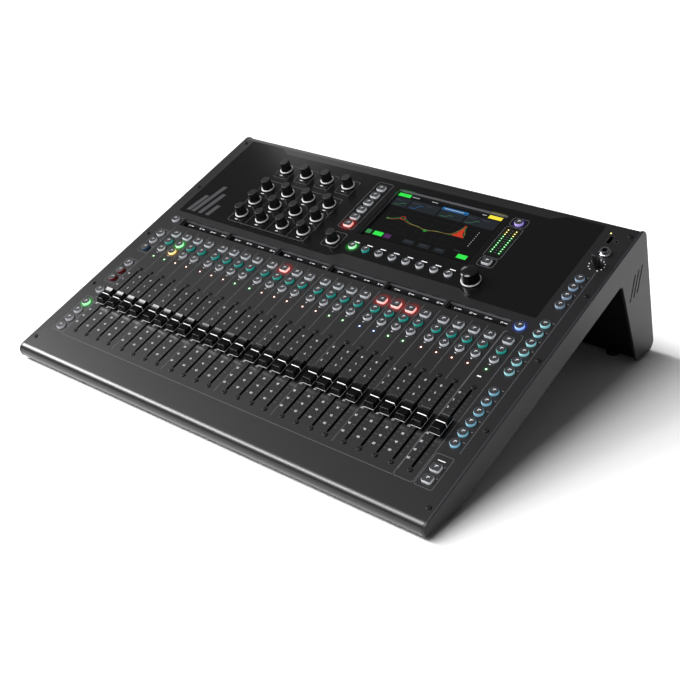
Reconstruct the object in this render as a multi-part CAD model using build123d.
"""A digital mixing console: 24 channel faders and a master on a sloping steel panel between two cheeks.

Everything is modelled in the panel's own frame and moved to the row frame at the end. In the panel
frame x runs to the right from the console's centre line, y runs up the slope from the fader slots'
lower screws, and z stands out of the panel's top face. Millimetres.
"""

import math
import os

from build123d import *

# ---------------------------------------------------------------- enclosure
TILT = 21.0  # slope of the control panel over the table, degrees
PANEL_WIDTH = 602.0  # folded steel between the cheeks
FRONT_Y = -54.0  # front face of the nose
REAR_Y = 411.0  # rear edge of the cheeks
NOSE_HEIGHT = 14.7  # front face below the panel's top
BODY_DEPTH = 34.0  # underside below the panel's top
LEG_TOP_Y = 346.5  # where the underside turns down into the rear leg
LEG_LEAN = 7.5  # slope of the leg's front wall, degrees
STEEL = 1.5  # sheet thickness
CHEEK = 3.3  # cheek plate thickness
CHEEK_GAP = 0.2  # between the folded steel and a cheek
SKIN_INSET = 0.8  # base sheet inside the cheeks' outline
LEG_INSET = 5.0  # leg's front wall inside the cheeks' outline
REAR_INSET = 1.5  # rear wall inside the cheeks' outline
NOSE_RADIUS = 9.0
CHIN_RADIUS = 3.0
BELLY_RADIUS = 6.0
KNEE_RADIUS = 9.0
HEEL_RADIUS = 3.0
TAIL_RADIUS = 11.0
TOP_REAR_RADIUS = 11.0
SEAM = 0.4  # gap between the top panel's folds and the base
PLATE_RISE = 16.0  # rear plate's lower edge over the tail's sharp corner, clear of its bend
PLATE_GAP = 0.1  # butt joint between the rear plate and the folded base
REAR_FOLD = 22.0  # top panel's flange down the rear
FLANGE_WIDTH = 12.5  # cheek's inward flange under the top panel
FLANGE = 2.0
FLANGE_START = -42.0
FLANGE_END = 398.0
CHEEK_EASE = 0.6  # chamfer round a cheek's outer edge
MARKS = 3  # slanted grooves pressed into the leg's side
MARK = (1.2, 4.0, 34.0)
MARK_BACK = 42.0
MARK_PITCH = 9.0
MARK_Z = -58.0
MARK_LEAN = 30.0

# ---------------------------------------------------------------- feet
FOOT_HEIGHT = 5.0
FOOT_LENGTH = 34.0
FOOT_WIDTH = 16.0
FOOT_EASE = 1.2
FOOT_X = 268.0
FOOT_FRONT = 27.0  # along the rest plane from the chin
FOOT_REAR = 468.0

# ---------------------------------------------------------------- faders
BANKS = 6
PER_BANK = 4
FADER_PITCH = 20.0
BANK_GAP = 4.3  # extra space between banks of four
MASTER_GAP = 23.0  # from the last channel fader to the master
FIRST_FADER_X = -251.5
FADER_SCREW_SPAN = 120.0
FADER_REST_Y = 59.4
FADER_TRAVEL = 100.0
SLOT_WIDTH = 3.0
SLOT_SPARE = 4.4  # slot runs on this far past the lever at each end
CAP_WIDTH = 13.0
CAP_TOP_WIDTH = 11.0
CAP_LENGTH = 26.0
CAP_TOP_LENGTH = 20.5
CAP_FLOOR = 4.0  # underside of the cap over the panel
CAP_HEIGHT = 7.5
CAP_DISH = 1.4
CAP_EASE = 0.6
LEVER = 1.2
LEVER_WIDTH = 4.0
SLOT_LENGTH = FADER_TRAVEL + LEVER_WIDTH + 2 * SLOT_SPARE
LEVER_IN_CAP = 4.0
CARRIAGE_TOP = -4.5
CARRIAGE_HEIGHT = 5.0
CARRIAGE_LENGTH = 12.0
TRACK_WIDTH = 11.0
TRACK_DEPTH = 13.0
TRACK_WALL = 1.0
TRACK_OVERHANG = 8.0  # past the screws
CARRIAGE_CLEAR = 0.3
MOTOR_RADIUS = 5.0
MOTOR_LENGTH = 22.0

# ---------------------------------------------------------------- keys
KEY_SHIFT = -0.8  # keys sit a little left of their fader
KEY_HEIGHT = 3.2
KEY_TRAVEL = 1.0
KEY_GAP = 0.25  # between a key and its hole
KEY_ROUND = 0.7  # top edge
KEY_FLANGE = 0.9
KEY_FLANGE_THICK = 1.2
KEY_FLANGE_GAP = 0.15
KEY_PITCH = 15.1
SQUARE_KEY = (11.4, 9.8)
SQUARE_CORNER = 2.6
SELECT_RADIUS = 5.5
LISTEN_RADIUS = 5.1
ROUND_RADIUS = 5.4
MUTE_Y = 192.4
SELECT_Y = 177.3
LISTEN_Y = 162.5
ASSIGN_Y = 216.2
SIDE_KEY_X = 276.0
LEFT_ROUND = ((-2.2, 4), (68.4, 1), (92.6, 3), (155.8, 3), (217.0, 1))
RIGHT_ROUND = ((47.3, 6), (153.5, 6), (261.4, 4))
RIGHT_SQUARE = ((-2.4, 2),)
SOFT_KEY_X = -38.4
SOFT_KEY_Y = 292.7
SOFT_KEY_PITCH = 14.85
SOFT_KEYS = 6
MODE_KEY_X = -7.6
MODE_KEY_Y = 259.4
MODE_KEY_RADIUS = 4.9
MODE_KEYS = 8
METER_X = 163.7
METER_KEYS_Y = (294.0, 367.6)

# ---------------------------------------------------------------- knobs
KNOB_X = -191.5
KNOB_PITCH = 35.3
KNOB_ROWS = (357.2, 315.7, 287.6, 259.5)
KNOB_FOOT = 2.7  # underside of the knob's body over the panel
KNOB_RADIUS = 7.6
KNOB_TOP_RADIUS = 6.2
KNOB_HEIGHT = 12.8
COLLAR_RADIUS = 8.9
COLLAR = 1.4
COLLAR_EASE = 0.4
FLUTES = 18
FLUTE_RADIUS = 0.75
FLUTE_OUT = 0.15  # flute's centre line outside the knob's side
KNOB_EASE = 0.9
DIAL_RADIUS = 11.0
DIAL_TOP_RADIUS = 10.0
DIAL_COLLAR_RADIUS = 12.0
DIAL_DOME = 1.8
PHONES_KNOB = (282.5, 333.5)
PHONES_RADIUS = 5.0
PHONES_TOP_RADIUS = 4.4
PHONES_HEIGHT = 15.0
SHAFT_RADIUS = 3.0
SHAFT_CLEAR = 0.05
SHAFT_HOLE = 3.6
SHAFT_END = 0.5  # shaft stops this far short of the encoder's underside
ENCODER = 12.0
ENCODER_HEIGHT = 6.5
KNOB_BORE = 8.0

# ---------------------------------------------------------------- displays
SCREEN_X = 63.7
SCREEN_Y = 329.5
SCREEN_WINDOW = (162.0, 95.0)
SCREEN_MODULE = (168.0, 101.0)
SCREEN_RECESS = 5.0
SCREEN_THICK = 9.0
LABEL_Y = 216.3
LABEL_WINDOW = (80.6, 12.7)
LABEL_SHIFT = -1.6
LABEL_RECESS = 5.4
LABEL_WALL = 1.2
LABEL_GLASS = 2.0

# ---------------------------------------------------------------- screws
SCREW_X = 295.2
SCREW_FIRST_Y = -30.0
SCREW_PITCH = 105.0
SCREWS_A_SIDE = 5
SCREW_SHANK = 1.45
SCREW_HEAD = 2.8
SCREW_HEAD_HEIGHT = 1.3
SCREW_LENGTH = 5.5
SCREW_CLEAR = 0.05
SCREW_HOLE = 1.7
SCREW_SOCKET = 1.0
SCREW_SOCKET_FLOOR = 0.4
SCREW_EASE = 0.6

# ---------------------------------------------------------------- panel sockets
USB_X = 276.4
USB_Y = 377.6
USB_MOUTH = (5.2, 13.2)
USB_DEPTH = 14.0
USB_WALL = 0.6
USB_PROUD = 0.2
MINI_JACK = (284.5, 377.1)
MINI_JACK_RADIUS = 1.8
MINI_JACK_WALL = 0.9
MINI_JACK_DEPTH = 14.0
MINI_JACK_BORE = 13.0
PHONES_JACK = (282.0, 354.5)
JACK_RADIUS = 3.2
JACK_BUSH = 5.6
JACK_NUT = 7.0
JACK_NUT_HEIGHT = 3.0
JACK_PROUD = 6.0
JACK_DEPTH = 22.0
JACK_BORE = 21.0
JACK_EASE = 0.9
LINE_JACK_PROUD = 4.0

# ---------------------------------------------------------------- rear sockets
PUNCH = 12.0  # length of the tools that cut the rear wall
REAR_PITCH = 30.0
REAR_FIRST_X = -268.0
INPUT_ROWS = (-46.0, -82.0)
INPUTS_A_ROW = 12
OUTPUT_ROW = -118.0
OUTPUTS = 8
LINE_ROW = -118.0
LINE_JACKS = 4
LINE_PITCH = 22.0
SOCKET_FLANGE = (26.0, 31.0)
SOCKET_FLANGE_THICK = 1.8
SOCKET_CORNER = 3.0
SOCKET_SHELL = 11.6
SOCKET_DEPTH = 18.0
SOCKET_MOUTH = 9.6
SOCKET_CORE = 8.0
GROOVE_DEPTH = 1.5
PIN_RADIUS = 1.2
PIN_CIRCLE = 3.8
CUP_DEPTH = 14.0
PIN_LENGTH = 7.5
CONTACT_DEPTH = 8.0  # tool for a socket's contact holes, half of it above the face
SOCKET_CLEAR = 0.3
NETWORK_X = (110.0, 142.0)
NETWORK_MOUTH = (12.0, 8.5)
NETWORK_DEPTH = 11.0
DATA_X = 176.0
DATA_MOUTH = (8.6, 8.0)
INLET_X = 262.0
INLET_Z = -60.0
INLET_MOUTH = (27.0, 19.6)
INLET_DEPTH = 15.0
INLET_WALL = 1.0
INLET_CLEAR = 0.5
INLET_FLANGE = (33.0, 26.0)
INLET_CORNER = 2.0
INLET_PIN = (2.0, 4.0, 8.0)
INLET_PINS = ((-7.0, 2.0), (7.0, 2.0), (0.0, -3.0))
ROCKER_Z = -104.0
ROCKER_SIZE = (19.0, 27.0)
ROCKER_FRAME = 2.0
ROCKER_SWING = 9.0
ROCKER_PIVOT = 7.0  # pivot behind the rear wall's face
ROCKER_RIM = 2.0
ROCKER_CLEAR = 0.3
ROCKER_DISH = 12.0
ROCKER_HOLLOW = 2.5  # depth of the finger dish
ROCKER_CASE = 20.0
VENT = (3.0, 34.0)
VENTS = 12
VENT_PITCH = 7.0
VENT_X = 95.0
VENT_Z = -62.0

# ---------------------------------------------------------------- inside
BOARD = 1.6
SWITCH_HEIGHT = 3.15  # room for the switches between the key board and the pressed keys
KEY_BOARD_Z = -(STEEL + KEY_FLANGE_GAP + KEY_FLANGE_THICK + KEY_TRAVEL + SWITCH_HEIGHT)
KEY_BOARD_HALF = 254.5
MAIN_BOARD = (360.0, 110.0)
MAIN_BOARD_X = -70.0
MAIN_BOARD_BACK = 30.0
MAIN_BOARD_Z = -95.0
SUPPLY = (116.0, 20.0, 70.0)
SUPPLY_X = 190.0
SUPPLY_BACK = 33.5
SUPPLY_Z = -100.0


# ================================================================ outline of the body
def direction(angle):
    """Unit vector at an angle, in degrees, in the y-z plane."""
    return Vector(math.cos(math.radians(angle)), math.sin(math.radians(angle)))


def meet(first, second):
    """Point where two lines cross, each given as a point and a direction."""
    (p, d), (q, e) = first, second
    t = ((q.X - p.X) * e.Y - (q.Y - p.Y) * e.X) / (d.X * e.Y - d.Y * e.X)
    return p + d * t


def chin_corner():
    """The corner under the nose, where the rest plane starts."""
    return Vector(FRONT_Y, -NOSE_HEIGHT)


def outline_corners(insets):
    """Corners of the body's outline, each side moved inwards by its own inset.

    The sides run anticlockwise: top, front, chin, belly, leg's front, leg's foot and rear.
    """
    sides = [
        (Vector(REAR_Y, 0), 180.0),
        (Vector(FRONT_Y, 0), -90.0),
        (chin_corner(), -TILT),
        (Vector(0, -BODY_DEPTH), 0.0),
        (Vector(LEG_TOP_Y, -BODY_DEPTH), LEG_LEAN - 90.0),
        (chin_corner(), -TILT),
        (Vector(REAR_Y, 0), 90.0),
    ]
    lines = []
    for (point, angle), inset in zip(sides, insets):
        lines.append((point + direction(angle + 90.0) * inset, direction(angle)))
    return [meet(lines[i - 1], lines[i]) for i in range(len(lines))]


def outline(insets, sheet=0.0):
    """Face of the body's outline in the y-z plane, with its corners rounded."""
    moved = [inset + sheet for inset in insets]
    radii = [
        TOP_REAR_RADIUS - moved[0],
        NOSE_RADIUS - moved[1],
        CHIN_RADIUS - moved[2],
        BELLY_RADIUS - moved[3],
        KNEE_RADIUS + moved[3],
        HEEL_RADIUS - moved[5],
        TAIL_RADIUS - moved[6],
    ]
    rounded = [max(r, 0.4) for r in radii]
    points = [(p.X, p.Y) for p in outline_corners(moved)]
    return make_face(FilletPolyline(*points, radius=rounded, close=True))


CHEEK_INSETS = (0.0,) * 7
SKIN_INSETS = (0.0, 0.0, SKIN_INSET, SKIN_INSET, LEG_INSET, SKIN_INSET, REAR_INSET)


def window(low, high):
    """Rectangle in the y-z plane from its low corner to its high one."""
    size = (high[0] - low[0], high[1] - low[1])
    middle = ((low[0] + high[0]) / 2, (low[1] + high[1]) / 2)
    return Pos(*middle) * Rectangle(*size)


def across(profile, width, x=0.0):
    """A y-z profile drawn out along x, centred on x."""
    return Pos(x, 0, 0) * extrude(Plane.YZ * profile, amount=width / 2, both=True)


def skin_ring():
    """Section of the folded steel skin, a closed ring of sheet."""
    return outline(SKIN_INSETS) - outline(SKIN_INSETS, STEEL)


def top_mask(grow=0.0):
    """Part of the skin's section that belongs to the top panel, with its two folds."""
    front = window((FRONT_Y - 10, -NOSE_HEIGHT + 1.0 - grow), (REAR_Y - 20, 10))
    rear = window((REAR_Y - 21, -REAR_FOLD - grow), (REAR_Y + 10, 10))
    return front + rear


# ================================================================ control layout
def fader_x(index):
    """Centre of a channel fader, counted from 0."""
    return FIRST_FADER_X + index * FADER_PITCH + (index // PER_BANK) * BANK_GAP


CHANNELS = BANKS * PER_BANK
FADERS = [fader_x(i) for i in range(CHANNELS)] + [fader_x(CHANNELS - 1) + MASTER_GAP]
MASTER_X = FADERS[-1]


def column(x, runs):
    """Places up a column of keys: runs of (lowest y, how many)."""
    return [(x, y + i * KEY_PITCH) for y, count in runs for i in range(count)]


MUTE_KEYS = [(x + KEY_SHIFT, MUTE_Y) for x in FADERS]
SELECT_KEYS = [(x + KEY_SHIFT, SELECT_Y) for x in FADERS]
LISTEN_KEYS = [(x + KEY_SHIFT, LISTEN_Y) for x in FADERS]
SIDE_ROUND_KEYS = column(-SIDE_KEY_X, LEFT_ROUND) + column(SIDE_KEY_X, RIGHT_ROUND)
SIDE_SQUARE_KEYS = column(SIDE_KEY_X, RIGHT_SQUARE)
SOFT_KEY_PLACES = [(SOFT_KEY_X, SOFT_KEY_Y + i * SOFT_KEY_PITCH) for i in range(SOFT_KEYS)]
MODE_KEY_PLACES = [(MODE_KEY_X + i * FADER_PITCH, MODE_KEY_Y) for i in range(MODE_KEYS)]
ASSIGN_KEY = (MASTER_X + KEY_SHIFT, ASSIGN_Y)
STRIP_KNOBS = [(KNOB_X + c * KNOB_PITCH, y) for y in KNOB_ROWS for c in range(4)]
LEVEL_KNOB = (SOFT_KEY_X, KNOB_ROWS[3])
DIAL = (METER_X, KNOB_ROWS[3])
SHAFTS = STRIP_KNOBS + [LEVEL_KNOB, DIAL, PHONES_KNOB]
BANK_CENTRES = [
    (fader_x(b * PER_BANK) + fader_x(b * PER_BANK + PER_BANK - 1)) / 2 + LABEL_SHIFT for b in range(BANKS)
]
PANEL_SCREWS = [
    (side * SCREW_X, SCREW_FIRST_Y + i * SCREW_PITCH) for side in (-1, 1) for i in range(SCREWS_A_SIDE)
]
FADER_SCREWS = [(x, y) for x in FADERS for y in (0.0, FADER_SCREW_SPAN)]


def at(places, shape):
    """Copies of a shape at panel places."""
    return [Pos(x, y, 0) * shape for x, y in places]


def square_face(grow=0.0):
    """Outline of a rounded square key."""
    return RectangleRounded(SQUARE_KEY[0] + 2 * grow, SQUARE_KEY[1] + 2 * grow, SQUARE_CORNER + grow)


def key_faces(grow):
    """Outlines of all the keys, each grown by the same amount."""
    faces = at(MUTE_KEYS + SIDE_SQUARE_KEYS + SOFT_KEY_PLACES, square_face(grow))
    faces += at([(METER_X, METER_KEYS_Y[0])], square_face(grow))
    faces += at(SELECT_KEYS, Circle(SELECT_RADIUS + grow))
    faces += at(LISTEN_KEYS, Circle(LISTEN_RADIUS + grow))
    round_keys = SIDE_ROUND_KEYS + [ASSIGN_KEY, (METER_X, METER_KEYS_Y[1])]
    faces += at(round_keys, Circle(ROUND_RADIUS + grow))
    faces += at(MODE_KEY_PLACES, Circle(MODE_KEY_RADIUS + grow))
    return faces


def panel_holes():
    """Every hole through the top panel, as faces in its plane."""
    slot = SlotOverall(SLOT_LENGTH, SLOT_WIDTH, rotation=90)
    holes = [Pos(x, FADER_SCREW_SPAN / 2) * slot for x in FADERS]
    holes += at(FADER_SCREWS + PANEL_SCREWS, Circle(SCREW_HOLE))
    holes += key_faces(KEY_GAP)
    holes += at(SHAFTS, Circle(SHAFT_HOLE))
    holes += [Pos(SCREEN_X, SCREEN_Y) * RectangleRounded(*SCREEN_WINDOW, 1.0)]
    holes += [Pos(x, LABEL_Y) * Rectangle(*LABEL_WINDOW) for x in BANK_CENTRES]
    holes += [Pos(USB_X, USB_Y) * Rectangle(USB_MOUTH[0] + 2 * USB_WALL, USB_MOUTH[1] + 2 * USB_WALL)]
    holes += at([MINI_JACK], Circle(MINI_JACK_RADIUS + 1.0))
    holes += at([PHONES_JACK], Circle(JACK_BUSH))
    return holes


# ================================================================ enclosure parts
def top_panel():
    """Folded steel: nose, flat control panel and rear fold, with every hole punched."""
    sheet = across(skin_ring() & top_mask(), PANEL_WIDTH)
    punch = extrude(Sketch() + panel_holes(), amount=STEEL + 1.0, both=True)
    return sheet - punch


def cheek(side):
    """Side cheek: a plate of the whole outline with an inward flange for the panel screws."""
    middle = side * (PANEL_WIDTH / 2 + CHEEK_GAP + CHEEK / 2)
    plate = across(outline(CHEEK_INSETS), CHEEK, middle)
    outer = plate.faces().sort_by(Axis.X)[-1 if side > 0 else 0]
    plate = chamfer(outer.edges(), CHEEK_EASE)
    flange_x = PANEL_WIDTH / 2 + CHEEK_GAP - FLANGE_WIDTH / 2
    length = FLANGE_END - FLANGE_START
    flange = Pos(side * flange_x, FLANGE_START + length / 2, -STEEL - FLANGE / 2) * Box(
        FLANGE_WIDTH, length, FLANGE
    )
    screws = [p for p in PANEL_SCREWS if p[0] * side > 0]
    threads = at(screws, Pos(0, 0, -STEEL - FLANGE / 2) * Cylinder(SCREW_SHANK + SCREW_CLEAR, 2 * FLANGE))
    outside = side * (PANEL_WIDTH / 2 + CHEEK_GAP + CHEEK)
    marks = []
    for i in range(MARKS):
        middle = Pos(outside, REAR_Y - MARK_BACK + i * MARK_PITCH, MARK_Z)
        marks.append(middle * Rot(-MARK_LEAN, 0, 0) * Box(*MARK))
    return plate + flange - threads - marks


def rear_cutouts():
    """Holes through the rear wall for its sockets, as solids along y."""
    round_hole = Cylinder(SOCKET_SHELL + SOCKET_CLEAR, PUNCH)
    tools = [rear_at(x, z) * round_hole for x, z in INPUTS + OUTPUT_PLACES + NETWORK_PLACES + DATA_PLACES]
    tools += [rear_at(x, z) * Cylinder(JACK_BUSH, PUNCH) for x, z in LINE_PLACES]
    inlet = [side + 2 * INLET_WALL + 2 * INLET_CLEAR for side in INLET_MOUTH]
    tools.append(rear_at(INLET_X, INLET_Z) * Box(*inlet, PUNCH))
    tools.append(rear_at(INLET_X, ROCKER_Z) * Box(*ROCKER_SIZE, PUNCH))
    for i in range(VENTS):
        tools.append(rear_at(VENT_X + i * VENT_PITCH, VENT_Z) * Box(*VENT, PUNCH))
    return tools


def base_chassis():
    """The folded base sheet (chin, belly and leg) and the flat rear plate that the sockets mount on."""
    ring = skin_ring() - top_mask(SEAM)
    tail = outline_corners(SKIN_INSETS)[6]
    inner = REAR_Y - REAR_INSET - STEEL
    high = -REAR_FOLD - SEAM + 1.0
    plate = ring & window((inner - PLATE_GAP, tail.Y + PLATE_RISE), (REAR_Y, high))
    sheet = ring - window((inner - PLATE_GAP, tail.Y + PLATE_RISE - PLATE_GAP), (REAR_Y, high))
    return [across(sheet, PANEL_WIDTH), across(plate, PANEL_WIDTH) - rear_cutouts()]


def rest_plane(distance, x):
    """Place on the plane that the feet stick to, measured from the chin along it."""
    start = chin_corner() + direction(90 - TILT) * SKIN_INSET
    point = start + direction(-TILT) * distance
    return Pos(x, point.X, point.Y) * Rot(-TILT, 0, 0)


def feet():
    """Four rubber feet that stand the console on the table."""
    pad = extrude(SlotOverall(FOOT_LENGTH, FOOT_WIDTH, rotation=90), amount=-FOOT_HEIGHT)
    pad = fillet(pad.faces().sort_by(Axis.Z)[0].edges(), FOOT_EASE)
    places = [(d, side * FOOT_X) for d in (FOOT_FRONT, FOOT_REAR) for side in (-1, 1)]
    return [rest_plane(d, x) * pad for d, x in places]


def screws():
    """Panel screws and the two screws that hold each fader, all alike."""
    head = Cylinder(SCREW_HEAD, SCREW_HEAD_HEIGHT, align=(Align.CENTER, Align.CENTER, Align.MIN))
    head = fillet(head.edges().group_by(Axis.Z)[-1], SCREW_EASE)
    shank = Cylinder(SCREW_SHANK, SCREW_LENGTH, align=(Align.CENTER, Align.CENTER, Align.MAX))
    socket = extrude(RegularPolygon(SCREW_SOCKET, 6), amount=2 * SCREW_HEAD_HEIGHT)
    screw = head + shank - Pos(0, 0, SCREW_SOCKET_FLOOR) * socket
    return at(PANEL_SCREWS + FADER_SCREWS, screw)


# ================================================================ faders
def fader(x):
    """A fader's moving part: the moulded cap, and the steel lever with its carriage."""
    side = Polyline(
        (-CAP_LENGTH / 2, CAP_FLOOR),
        (CAP_LENGTH / 2, CAP_FLOOR),
        (CAP_TOP_LENGTH / 2, CAP_FLOOR + CAP_HEIGHT),
    )
    dish = ThreePointArc(
        (CAP_TOP_LENGTH / 2, CAP_FLOOR + CAP_HEIGHT),
        (0, CAP_FLOOR + CAP_HEIGHT - CAP_DISH),
        (-CAP_TOP_LENGTH / 2, CAP_FLOOR + CAP_HEIGHT),
    )
    heel = Line((-CAP_TOP_LENGTH / 2, CAP_FLOOR + CAP_HEIGHT), (-CAP_LENGTH / 2, CAP_FLOOR))
    block = across(make_face(side + dish + heel), CAP_WIDTH)
    end_view = Polygon(
        (-CAP_WIDTH / 2, CAP_FLOOR),
        (CAP_WIDTH / 2, CAP_FLOOR),
        (CAP_TOP_WIDTH / 2, CAP_FLOOR + CAP_HEIGHT + 1),
        (-CAP_TOP_WIDTH / 2, CAP_FLOOR + CAP_HEIGHT + 1),
        align=None,
    )
    cap = block & extrude(Plane.XZ * end_view, amount=CAP_LENGTH, both=True)
    cap = fillet(cap.edges().filter_by(lambda e: e.center().Z > CAP_FLOOR + 0.1), CAP_EASE)
    lever_top = CAP_FLOOR + LEVER_IN_CAP
    lever = Pos(0, 0, (lever_top + CARRIAGE_TOP) / 2) * Box(LEVER, LEVER_WIDTH, lever_top - CARRIAGE_TOP)
    inner = TRACK_WIDTH - 2 * TRACK_WALL - 2 * CARRIAGE_CLEAR
    carriage = Pos(0, 0, CARRIAGE_TOP - CARRIAGE_HEIGHT / 2) * Box(inner, CARRIAGE_LENGTH, CARRIAGE_HEIGHT)
    return [Pos(x, FADER_REST_Y, 0) * s for s in (cap - lever, lever + carriage)]


def fader_mechanism(x):
    """The fixed part of a motorised fader: an open-topped track and its motor."""
    length = FADER_SCREW_SPAN + 2 * TRACK_OVERHANG
    middle = FADER_SCREW_SPAN / 2
    outer = Pos(0, middle, -STEEL - TRACK_DEPTH / 2) * Box(TRACK_WIDTH, length, TRACK_DEPTH)
    hollow = Pos(0, middle, -STEEL - TRACK_DEPTH / 2) * Box(
        TRACK_WIDTH - 2 * TRACK_WALL, length - 2 * TRACK_WALL, TRACK_DEPTH - 2 * TRACK_WALL
    )
    slot = Pos(0, middle, -STEEL) * Box(SLOT_WIDTH, SLOT_LENGTH, 4 * TRACK_WALL)
    threads = at([(0, 0), (0, FADER_SCREW_SPAN)], Cylinder(SCREW_SHANK + SCREW_CLEAR, 4 * TRACK_WALL))
    track = outer - hollow - slot - [Pos(0, 0, -STEEL) * t for t in threads]
    drop = -STEEL - TRACK_DEPTH - MOTOR_RADIUS
    motor = Pos(0, middle, drop) * Rot(90, 0, 0) * Cylinder(MOTOR_RADIUS, MOTOR_LENGTH)
    return [Pos(x, 0, 0) * s for s in (track, motor)]


# ================================================================ keys
def key(face, flange_face):
    """A key cap: it stands through its hole and a flange under the panel keeps it in."""
    stem = STEEL + KEY_FLANGE_GAP
    cap = extrude(Pos(0, 0, -stem) * face, amount=stem + KEY_HEIGHT)
    cap = fillet(cap.faces().sort_by(Axis.Z)[-1].edges(), KEY_ROUND)
    return cap + extrude(Pos(0, 0, -stem) * flange_face, amount=-KEY_FLANGE_THICK)


def square_key():
    return key(square_face(), square_face(KEY_FLANGE))


def round_key(radius):
    return key(Circle(radius), Circle(radius + KEY_FLANGE))


def mute_keys():
    """One rounded square key over each fader."""
    return at(MUTE_KEYS, square_key())


def channel_keys():
    """The round select and listen keys of each channel."""
    return at(SELECT_KEYS, round_key(SELECT_RADIUS)) + at(LISTEN_KEYS, round_key(LISTEN_RADIUS))


def function_keys():
    """Every other key: the two side columns, and those round the screen and the meter."""
    round_places = SIDE_ROUND_KEYS + [ASSIGN_KEY, (METER_X, METER_KEYS_Y[1])]
    square_places = SIDE_SQUARE_KEYS + SOFT_KEY_PLACES + [(METER_X, METER_KEYS_Y[0])]
    keys = at(round_places, round_key(ROUND_RADIUS)) + at(square_places, square_key())
    return keys + at(MODE_KEY_PLACES, round_key(MODE_KEY_RADIUS))


# ================================================================ knobs
def shaft(top):
    """Steel shaft from inside the encoder up into the knob."""
    length = top + STEEL + ENCODER_HEIGHT - SHAFT_END
    return Pos(0, 0, top - length / 2) * Cylinder(SHAFT_RADIUS, length)


def knob_bore():
    """Blind bore for the shaft, up from the knob's foot."""
    return Pos(0, 0, KNOB_BORE / 2) * Cylinder(SHAFT_RADIUS, KNOB_BORE)


def collar(radius):
    """Pale ring under a knob."""
    ring = Cylinder(radius, COLLAR) - Cylinder(SHAFT_RADIUS, COLLAR)
    rim = ring.edges().group_by(Axis.Z)[-1].sort_by(SortBy.RADIUS)[-1]
    return Pos(0, 0, KNOB_FOOT - COLLAR / 2) * fillet(rim, COLLAR_EASE)


def fluted(radius, top_radius, height, flutes):
    """Tapered knob body with flutes down its side and a rounded top."""
    body = Pos(0, 0, KNOB_FOOT + height / 2) * Cone(radius, top_radius, height)
    body = fillet(body.edges().group_by(Axis.Z)[-1], KNOB_EASE)
    lean = math.degrees(math.atan((radius - top_radius) / height))
    groove = Pos(radius + FLUTE_OUT, 0, KNOB_FOOT) * Rot(0, -lean, 0) * Cylinder(FLUTE_RADIUS, 3 * height)
    return body - [Rot(0, 0, i * 360 / flutes) * groove for i in range(flutes)]


def strip_knob():
    """Encoder knob of the processing strip: body, collar and shaft."""
    body = fluted(KNOB_RADIUS, KNOB_TOP_RADIUS, KNOB_HEIGHT, FLUTES)
    return [body - knob_bore(), collar(COLLAR_RADIUS), shaft(KNOB_BORE)]


def dial():
    """The large data dial: smooth sides and a domed cap."""
    body = Pos(0, 0, KNOB_FOOT + KNOB_HEIGHT / 2) * Cone(DIAL_RADIUS, DIAL_TOP_RADIUS, KNOB_HEIGHT)
    dome_radius = (DIAL_TOP_RADIUS**2 + DIAL_DOME**2) / (2 * DIAL_DOME)
    top = KNOB_FOOT + KNOB_HEIGHT
    dome = Pos(0, 0, top + DIAL_DOME - dome_radius) * Sphere(dome_radius)
    dome = dome & Pos(0, 0, top + DIAL_DOME / 2) * Cylinder(DIAL_TOP_RADIUS, DIAL_DOME)
    return [body + dome - knob_bore(), collar(DIAL_COLLAR_RADIUS), shaft(KNOB_BORE)]


def phones_knob():
    """Slim headphone level knob."""
    body = fluted(PHONES_RADIUS, PHONES_TOP_RADIUS, PHONES_HEIGHT, FLUTES - 6)
    return [body - knob_bore(), shaft(KNOB_BORE)]


def encoders():
    """Bodies of the rotary encoders under the panel, one for each knob."""
    case = Box(ENCODER, ENCODER, ENCODER_HEIGHT) - Cylinder(SHAFT_RADIUS + SHAFT_CLEAR, 2 * ENCODER_HEIGHT)
    return at(SHAFTS, Pos(0, 0, -STEEL - ENCODER_HEIGHT / 2) * case)


# ================================================================ displays
def touchscreen():
    """Touch display module, recessed behind the panel's window, with the window's frame."""
    glass_z = -SCREEN_RECESS
    module = Box(*SCREEN_MODULE, SCREEN_THICK, align=(Align.CENTER, Align.CENTER, Align.MAX))
    frame_height = SCREEN_RECESS - STEEL
    frame = Box(*SCREEN_MODULE, frame_height, align=(Align.CENTER, Align.CENTER, Align.MAX))
    frame -= Box(*SCREEN_WINDOW, 3 * frame_height)
    placed = [Pos(SCREEN_X, SCREEN_Y, glass_z) * module, Pos(SCREEN_X, SCREEN_Y, -STEEL) * frame]
    return placed


def label_displays():
    """Six channel name displays, each a small module in a frame under its window."""
    parts = []
    height = LABEL_RECESS - STEEL
    outer = (LABEL_WINDOW[0] + 2 * LABEL_WALL, LABEL_WINDOW[1] + 2 * LABEL_WALL)
    frame = Box(*outer, height, align=(Align.CENTER, Align.CENTER, Align.MAX))
    frame -= Box(*LABEL_WINDOW, 3 * height)
    glass = Box(*outer, LABEL_GLASS, align=(Align.CENTER, Align.CENTER, Align.MAX))
    for x in BANK_CENTRES:
        parts.append(Pos(x, LABEL_Y, -STEEL) * frame)
        parts.append(Pos(x, LABEL_Y, -LABEL_RECESS) * glass)
    return parts


# ================================================================ sockets
def rear_at(x, z):
    """Place on the rear wall's face, with local z pointing out of it."""
    return Pos(x, REAR_Y - REAR_INSET, z) * Rot(-90, 0, 0)


def row_places(first, count, z, pitch):
    return [(first + i * pitch, z) for i in range(count)]


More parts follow.
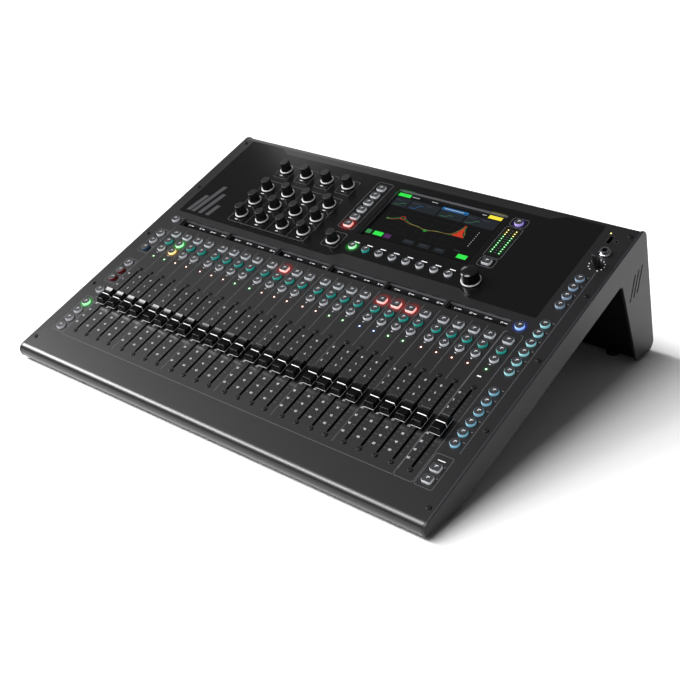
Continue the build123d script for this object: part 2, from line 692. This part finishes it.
INPUTS = [place for z in INPUT_ROWS for place in row_places(REAR_FIRST_X, INPUTS_A_ROW, z, REAR_PITCH)]
OUTPUT_PLACES = row_places(REAR_FIRST_X, OUTPUTS, OUTPUT_ROW, REAR_PITCH)
LINE_PLACES = row_places(REAR_FIRST_X + OUTPUTS * REAR_PITCH + 2, LINE_JACKS, LINE_ROW, LINE_PITCH)
NETWORK_PLACES = [(x, OUTPUT_ROW) for x in NETWORK_X]
DATA_PLACES = [(DATA_X, OUTPUT_ROW)]


def socket_blank():
    """Flange and shell of a panel socket, its face at z = flange thickness."""
    flange = extrude(RectangleRounded(*SOCKET_FLANGE, SOCKET_CORNER), amount=SOCKET_FLANGE_THICK)
    shell = Cylinder(SOCKET_SHELL, SOCKET_DEPTH, align=(Align.CENTER, Align.CENTER, Align.MAX))
    return flange + shell


def pin_places():
    """Three contacts of a round microphone connector."""
    angles = [math.radians(a) for a in (30, 150, 270)]
    return [(PIN_CIRCLE * math.cos(a), PIN_CIRCLE * math.sin(a)) for a in angles]


def input_socket():
    """Female microphone socket: a ring groove round its core, and three contact holes."""
    groove = Cylinder(SOCKET_MOUTH, 2 * GROOVE_DEPTH) - Cylinder(SOCKET_CORE, 2 * GROOVE_DEPTH)
    holes = at(pin_places(), Cylinder(PIN_RADIUS, CONTACT_DEPTH))
    return socket_blank() - [Pos(0, 0, SOCKET_FLANGE_THICK) * tool for tool in [groove, *holes]]


def output_socket():
    """Male microphone socket: an open cup with three pins standing from its floor."""
    mouth = Cylinder(SOCKET_MOUTH, CUP_DEPTH, align=(Align.CENTER, Align.CENTER, Align.MAX))
    body = socket_blank() - Pos(0, 0, SOCKET_FLANGE_THICK) * mouth
    floor = SOCKET_FLANGE_THICK - CUP_DEPTH
    pin = Cylinder(PIN_RADIUS, PIN_LENGTH, align=(Align.CENTER, Align.CENTER, Align.MIN))
    return body + at(pin_places(), Pos(0, 0, floor) * pin)


def box_socket(mouth, depth):
    """Socket with a rectangular mouth in the same flange."""
    cavity = Box(*mouth, depth, align=(Align.CENTER, Align.CENTER, Align.MAX))
    return socket_blank() - Pos(0, 0, SOCKET_FLANGE_THICK) * cavity


def jack(proud, radius, bush, nut, nut_height):
    """Jack socket: threaded bush with its bore, and a nut on the panel."""
    body = Pos(0, 0, (proud - JACK_DEPTH) / 2) * Cylinder(bush - SOCKET_CLEAR, JACK_DEPTH + proud)
    ring = Pos(0, 0, nut_height / 2) * Cylinder(nut, nut_height)
    ring = fillet(ring.edges().group_by(Axis.Z)[-1], JACK_EASE)
    bore = Pos(0, 0, proud - JACK_BORE / 2) * Cylinder(radius, JACK_BORE)
    return body + ring - bore


def mains_inlet():
    """Mains inlet: flange, cup and three flat pins."""
    flange = extrude(RectangleRounded(*INLET_FLANGE, INLET_CORNER), amount=SOCKET_FLANGE_THICK)
    outer = [side + 2 * INLET_WALL for side in INLET_MOUTH]
    cup = Box(*outer, INLET_DEPTH + 2 * INLET_WALL, align=(Align.CENTER, Align.CENTER, Align.MAX))
    cavity = Box(*INLET_MOUTH, INLET_DEPTH, align=(Align.CENTER, Align.CENTER, Align.MAX))
    body = flange + cup - Pos(0, 0, SOCKET_FLANGE_THICK) * cavity
    pin = Box(*INLET_PIN, align=(Align.CENTER, Align.CENTER, Align.MIN))
    floor = SOCKET_FLANGE_THICK - INLET_DEPTH
    return body + at(INLET_PINS, Pos(0, 0, floor) * pin)


def rocker_frame():
    """Bezel round the power rocker."""
    outer = (ROCKER_SIZE[0] + 2 * ROCKER_FRAME, ROCKER_SIZE[1] + 2 * ROCKER_FRAME)
    bezel = Box(*outer, ROCKER_FRAME, align=(Align.CENTER, Align.CENTER, Align.MIN))
    inner = (ROCKER_SIZE[0] - SOCKET_CLEAR, ROCKER_SIZE[1] - SOCKET_CLEAR)
    case = Box(*inner, ROCKER_CASE, align=(Align.CENTER, Align.CENTER, Align.MAX))
    hole = (ROCKER_SIZE[0] - 2 * ROCKER_RIM, ROCKER_SIZE[1] - 2 * ROCKER_RIM)
    return bezel + case - Box(*hole, 3 * ROCKER_CASE)


def power_switch():
    """The rocker itself, a sector of a drum that tips on its middle."""
    width = ROCKER_SIZE[0] - 2 * ROCKER_RIM - 2 * ROCKER_CLEAR
    radius = ROCKER_SIZE[1] / 2 - ROCKER_RIM - ROCKER_CLEAR
    drum = Rot(0, 90, 0) * Cylinder(radius, width)
    dish = Pos(0, 0, radius + ROCKER_DISH - ROCKER_HOLLOW) * Rot(0, 90, 0) * Cylinder(ROCKER_DISH, 2 * width)
    return [rear_at(INLET_X, ROCKER_Z) * Pos(0, 0, -ROCKER_PIVOT) * Rot(-ROCKER_SWING, 0, 0) * (drum - dish)]


def usb_socket():
    """Slot socket in the panel for a memory stick, with its tongue left out."""
    outer = (USB_MOUTH[0] + 2 * USB_WALL, USB_MOUTH[1] + 2 * USB_WALL)
    shell = Pos(0, 0, USB_PROUD) * Box(*outer, USB_DEPTH, align=(Align.CENTER, Align.CENTER, Align.MAX))
    cavity = Box(*USB_MOUTH, 2 * (USB_DEPTH - 1), align=(Align.CENTER, Align.CENTER, Align.CENTER))
    return Pos(USB_X, USB_Y, 0) * (shell - cavity)


def mini_jack():
    """Small headphone socket, flush with the panel."""
    top = (Align.CENTER, Align.CENTER, Align.MAX)
    body = Cylinder(MINI_JACK_RADIUS + MINI_JACK_WALL, MINI_JACK_DEPTH, align=top)
    return body - Cylinder(MINI_JACK_RADIUS, MINI_JACK_BORE, align=top)


def sockets():
    """Every connector: the rear wall's and the three at the panel's top right."""
    parts = [rear_at(x, z) * input_socket() for x, z in INPUTS]
    parts += [rear_at(x, z) * output_socket() for x, z in OUTPUT_PLACES]
    line_jack = jack(LINE_JACK_PROUD, JACK_RADIUS, JACK_BUSH, JACK_NUT, JACK_NUT_HEIGHT)
    parts += [rear_at(x, z) * line_jack for x, z in LINE_PLACES]
    parts += [rear_at(x, z) * box_socket(NETWORK_MOUTH, NETWORK_DEPTH) for x, z in NETWORK_PLACES]
    parts += [rear_at(x, z) * box_socket(DATA_MOUTH, NETWORK_DEPTH) for x, z in DATA_PLACES]
    parts.append(rear_at(INLET_X, INLET_Z) * mains_inlet())
    parts.append(rear_at(INLET_X, ROCKER_Z) * rocker_frame())
    parts.append(usb_socket())
    parts.append(Pos(*PHONES_JACK, 0) * jack(JACK_PROUD, JACK_RADIUS, JACK_BUSH, JACK_NUT, JACK_NUT_HEIGHT))
    parts.append(Pos(*MINI_JACK, 0) * mini_jack())
    return parts


# ================================================================ inside
def board(low, high, z):
    """Circuit board from its low corner to its high one, its top face at z."""
    size = (high[0] - low[0], high[1] - low[1])
    middle = ((low[0] + high[0]) / 2, (low[1] + high[1]) / 2)
    return Pos(*middle, z - BOARD / 2) * Box(*size, BOARD)


def circuit_boards():
    """Control boards under the panel, the main board in the leg, and the encoders."""
    under = -STEEL - ENCODER_HEIGHT
    key_board = board((-KEY_BOARD_HALF, LISTEN_Y - 12), (KEY_BOARD_HALF, MUTE_Y + 8), KEY_BOARD_Z)
    knob_board = board((KNOB_X - 12, KNOB_ROWS[3] - 12), (SOFT_KEY_X + 12, KNOB_ROWS[0] + 16), under)
    mode_board = board((MODE_KEY_X - 8, MODE_KEY_Y - 10), (DIAL[0] + 12, MODE_KEY_Y + 9), under)
    left_board = board((-SIDE_KEY_X - 7, -10), (-SIDE_KEY_X + 7, ASSIGN_Y + 9), under)
    right_board = board((SIDE_KEY_X - 7, -10), (SIDE_KEY_X + 12, PHONES_KNOB[1] + 8.5), under)
    main_place = Pos(MAIN_BOARD_X, REAR_Y - MAIN_BOARD_BACK, MAIN_BOARD_Z)
    main = main_place * Box(MAIN_BOARD[0], BOARD, MAIN_BOARD[1])
    return [key_board, knob_board, mode_board, left_board, right_board, main, *encoders()]


def power_supply():
    """Boxed mains supply in the leg behind the inlet."""
    return [Pos(SUPPLY_X, REAR_Y - SUPPLY_BACK, SUPPLY_Z) * Box(*SUPPLY)]


# ================================================================ assembly
def nodes():
    """Every sub-part by name, in the panel frame."""
    made = {
        "top_panel": [top_panel()],
        "left_cheek": [cheek(-1)],
        "right_cheek": [cheek(1)],
        "base_chassis": base_chassis(),
        "sockets": sockets(),
        "rubber_feet": feet(),
        "screws": screws(),
        "touchscreen": touchscreen(),
        "label_displays": label_displays(),
        "circuit_boards": circuit_boards(),
        "power_supply": power_supply(),
        "fader_mechanisms": [s for x in FADERS for s in fader_mechanism(x)],
        "mute_keys": mute_keys(),
        "channel_keys": channel_keys(),
        "function_keys": function_keys(),
        "power_switch": power_switch(),
        "level_knob": at([LEVEL_KNOB], Compound(strip_knob())),
        "data_dial": at([DIAL], Compound(dial())),
        "phones_knob": at([PHONES_KNOB], Compound(phones_knob())),
    }
    knob = Compound(strip_knob())
    for i, place in enumerate(STRIP_KNOBS):
        made[f"knob_row{i // 4 + 1}_{i % 4 + 1}"] = at([place], knob)
    for i, x in enumerate(FADERS):
        name = "fader_master" if i == CHANNELS else f"fader_{i + 1:02d}"
        made[name] = fader(x)
    return made


def panel_place():
    """Place of the panel frame in the row frame: tilted, feet on z = 0, centred front to back."""
    tilted = Rot(TILT, 0, 0) * across(outline(CHEEK_INSETS), 1.0)
    box = tilted.bounding_box()
    floor = (Rot(TILT, 0, 0) * rest_plane(0, 0)).position.Z - FOOT_HEIGHT
    return Pos(0, -(box.min.Y + box.max.Y) / 2, -floor) * Rot(TILT, 0, 0)


def main():
    os.makedirs("parts", exist_ok=True)
    place = panel_place()
    for name, shapes in nodes().items():
        solids = [solid for shape in shapes for solid in shape.solids()]
        export_step(place * Compound(solids), f"parts/{name}.step")
    print("panel frame in the row frame:", place)


if __name__ == "__main__":
    main()
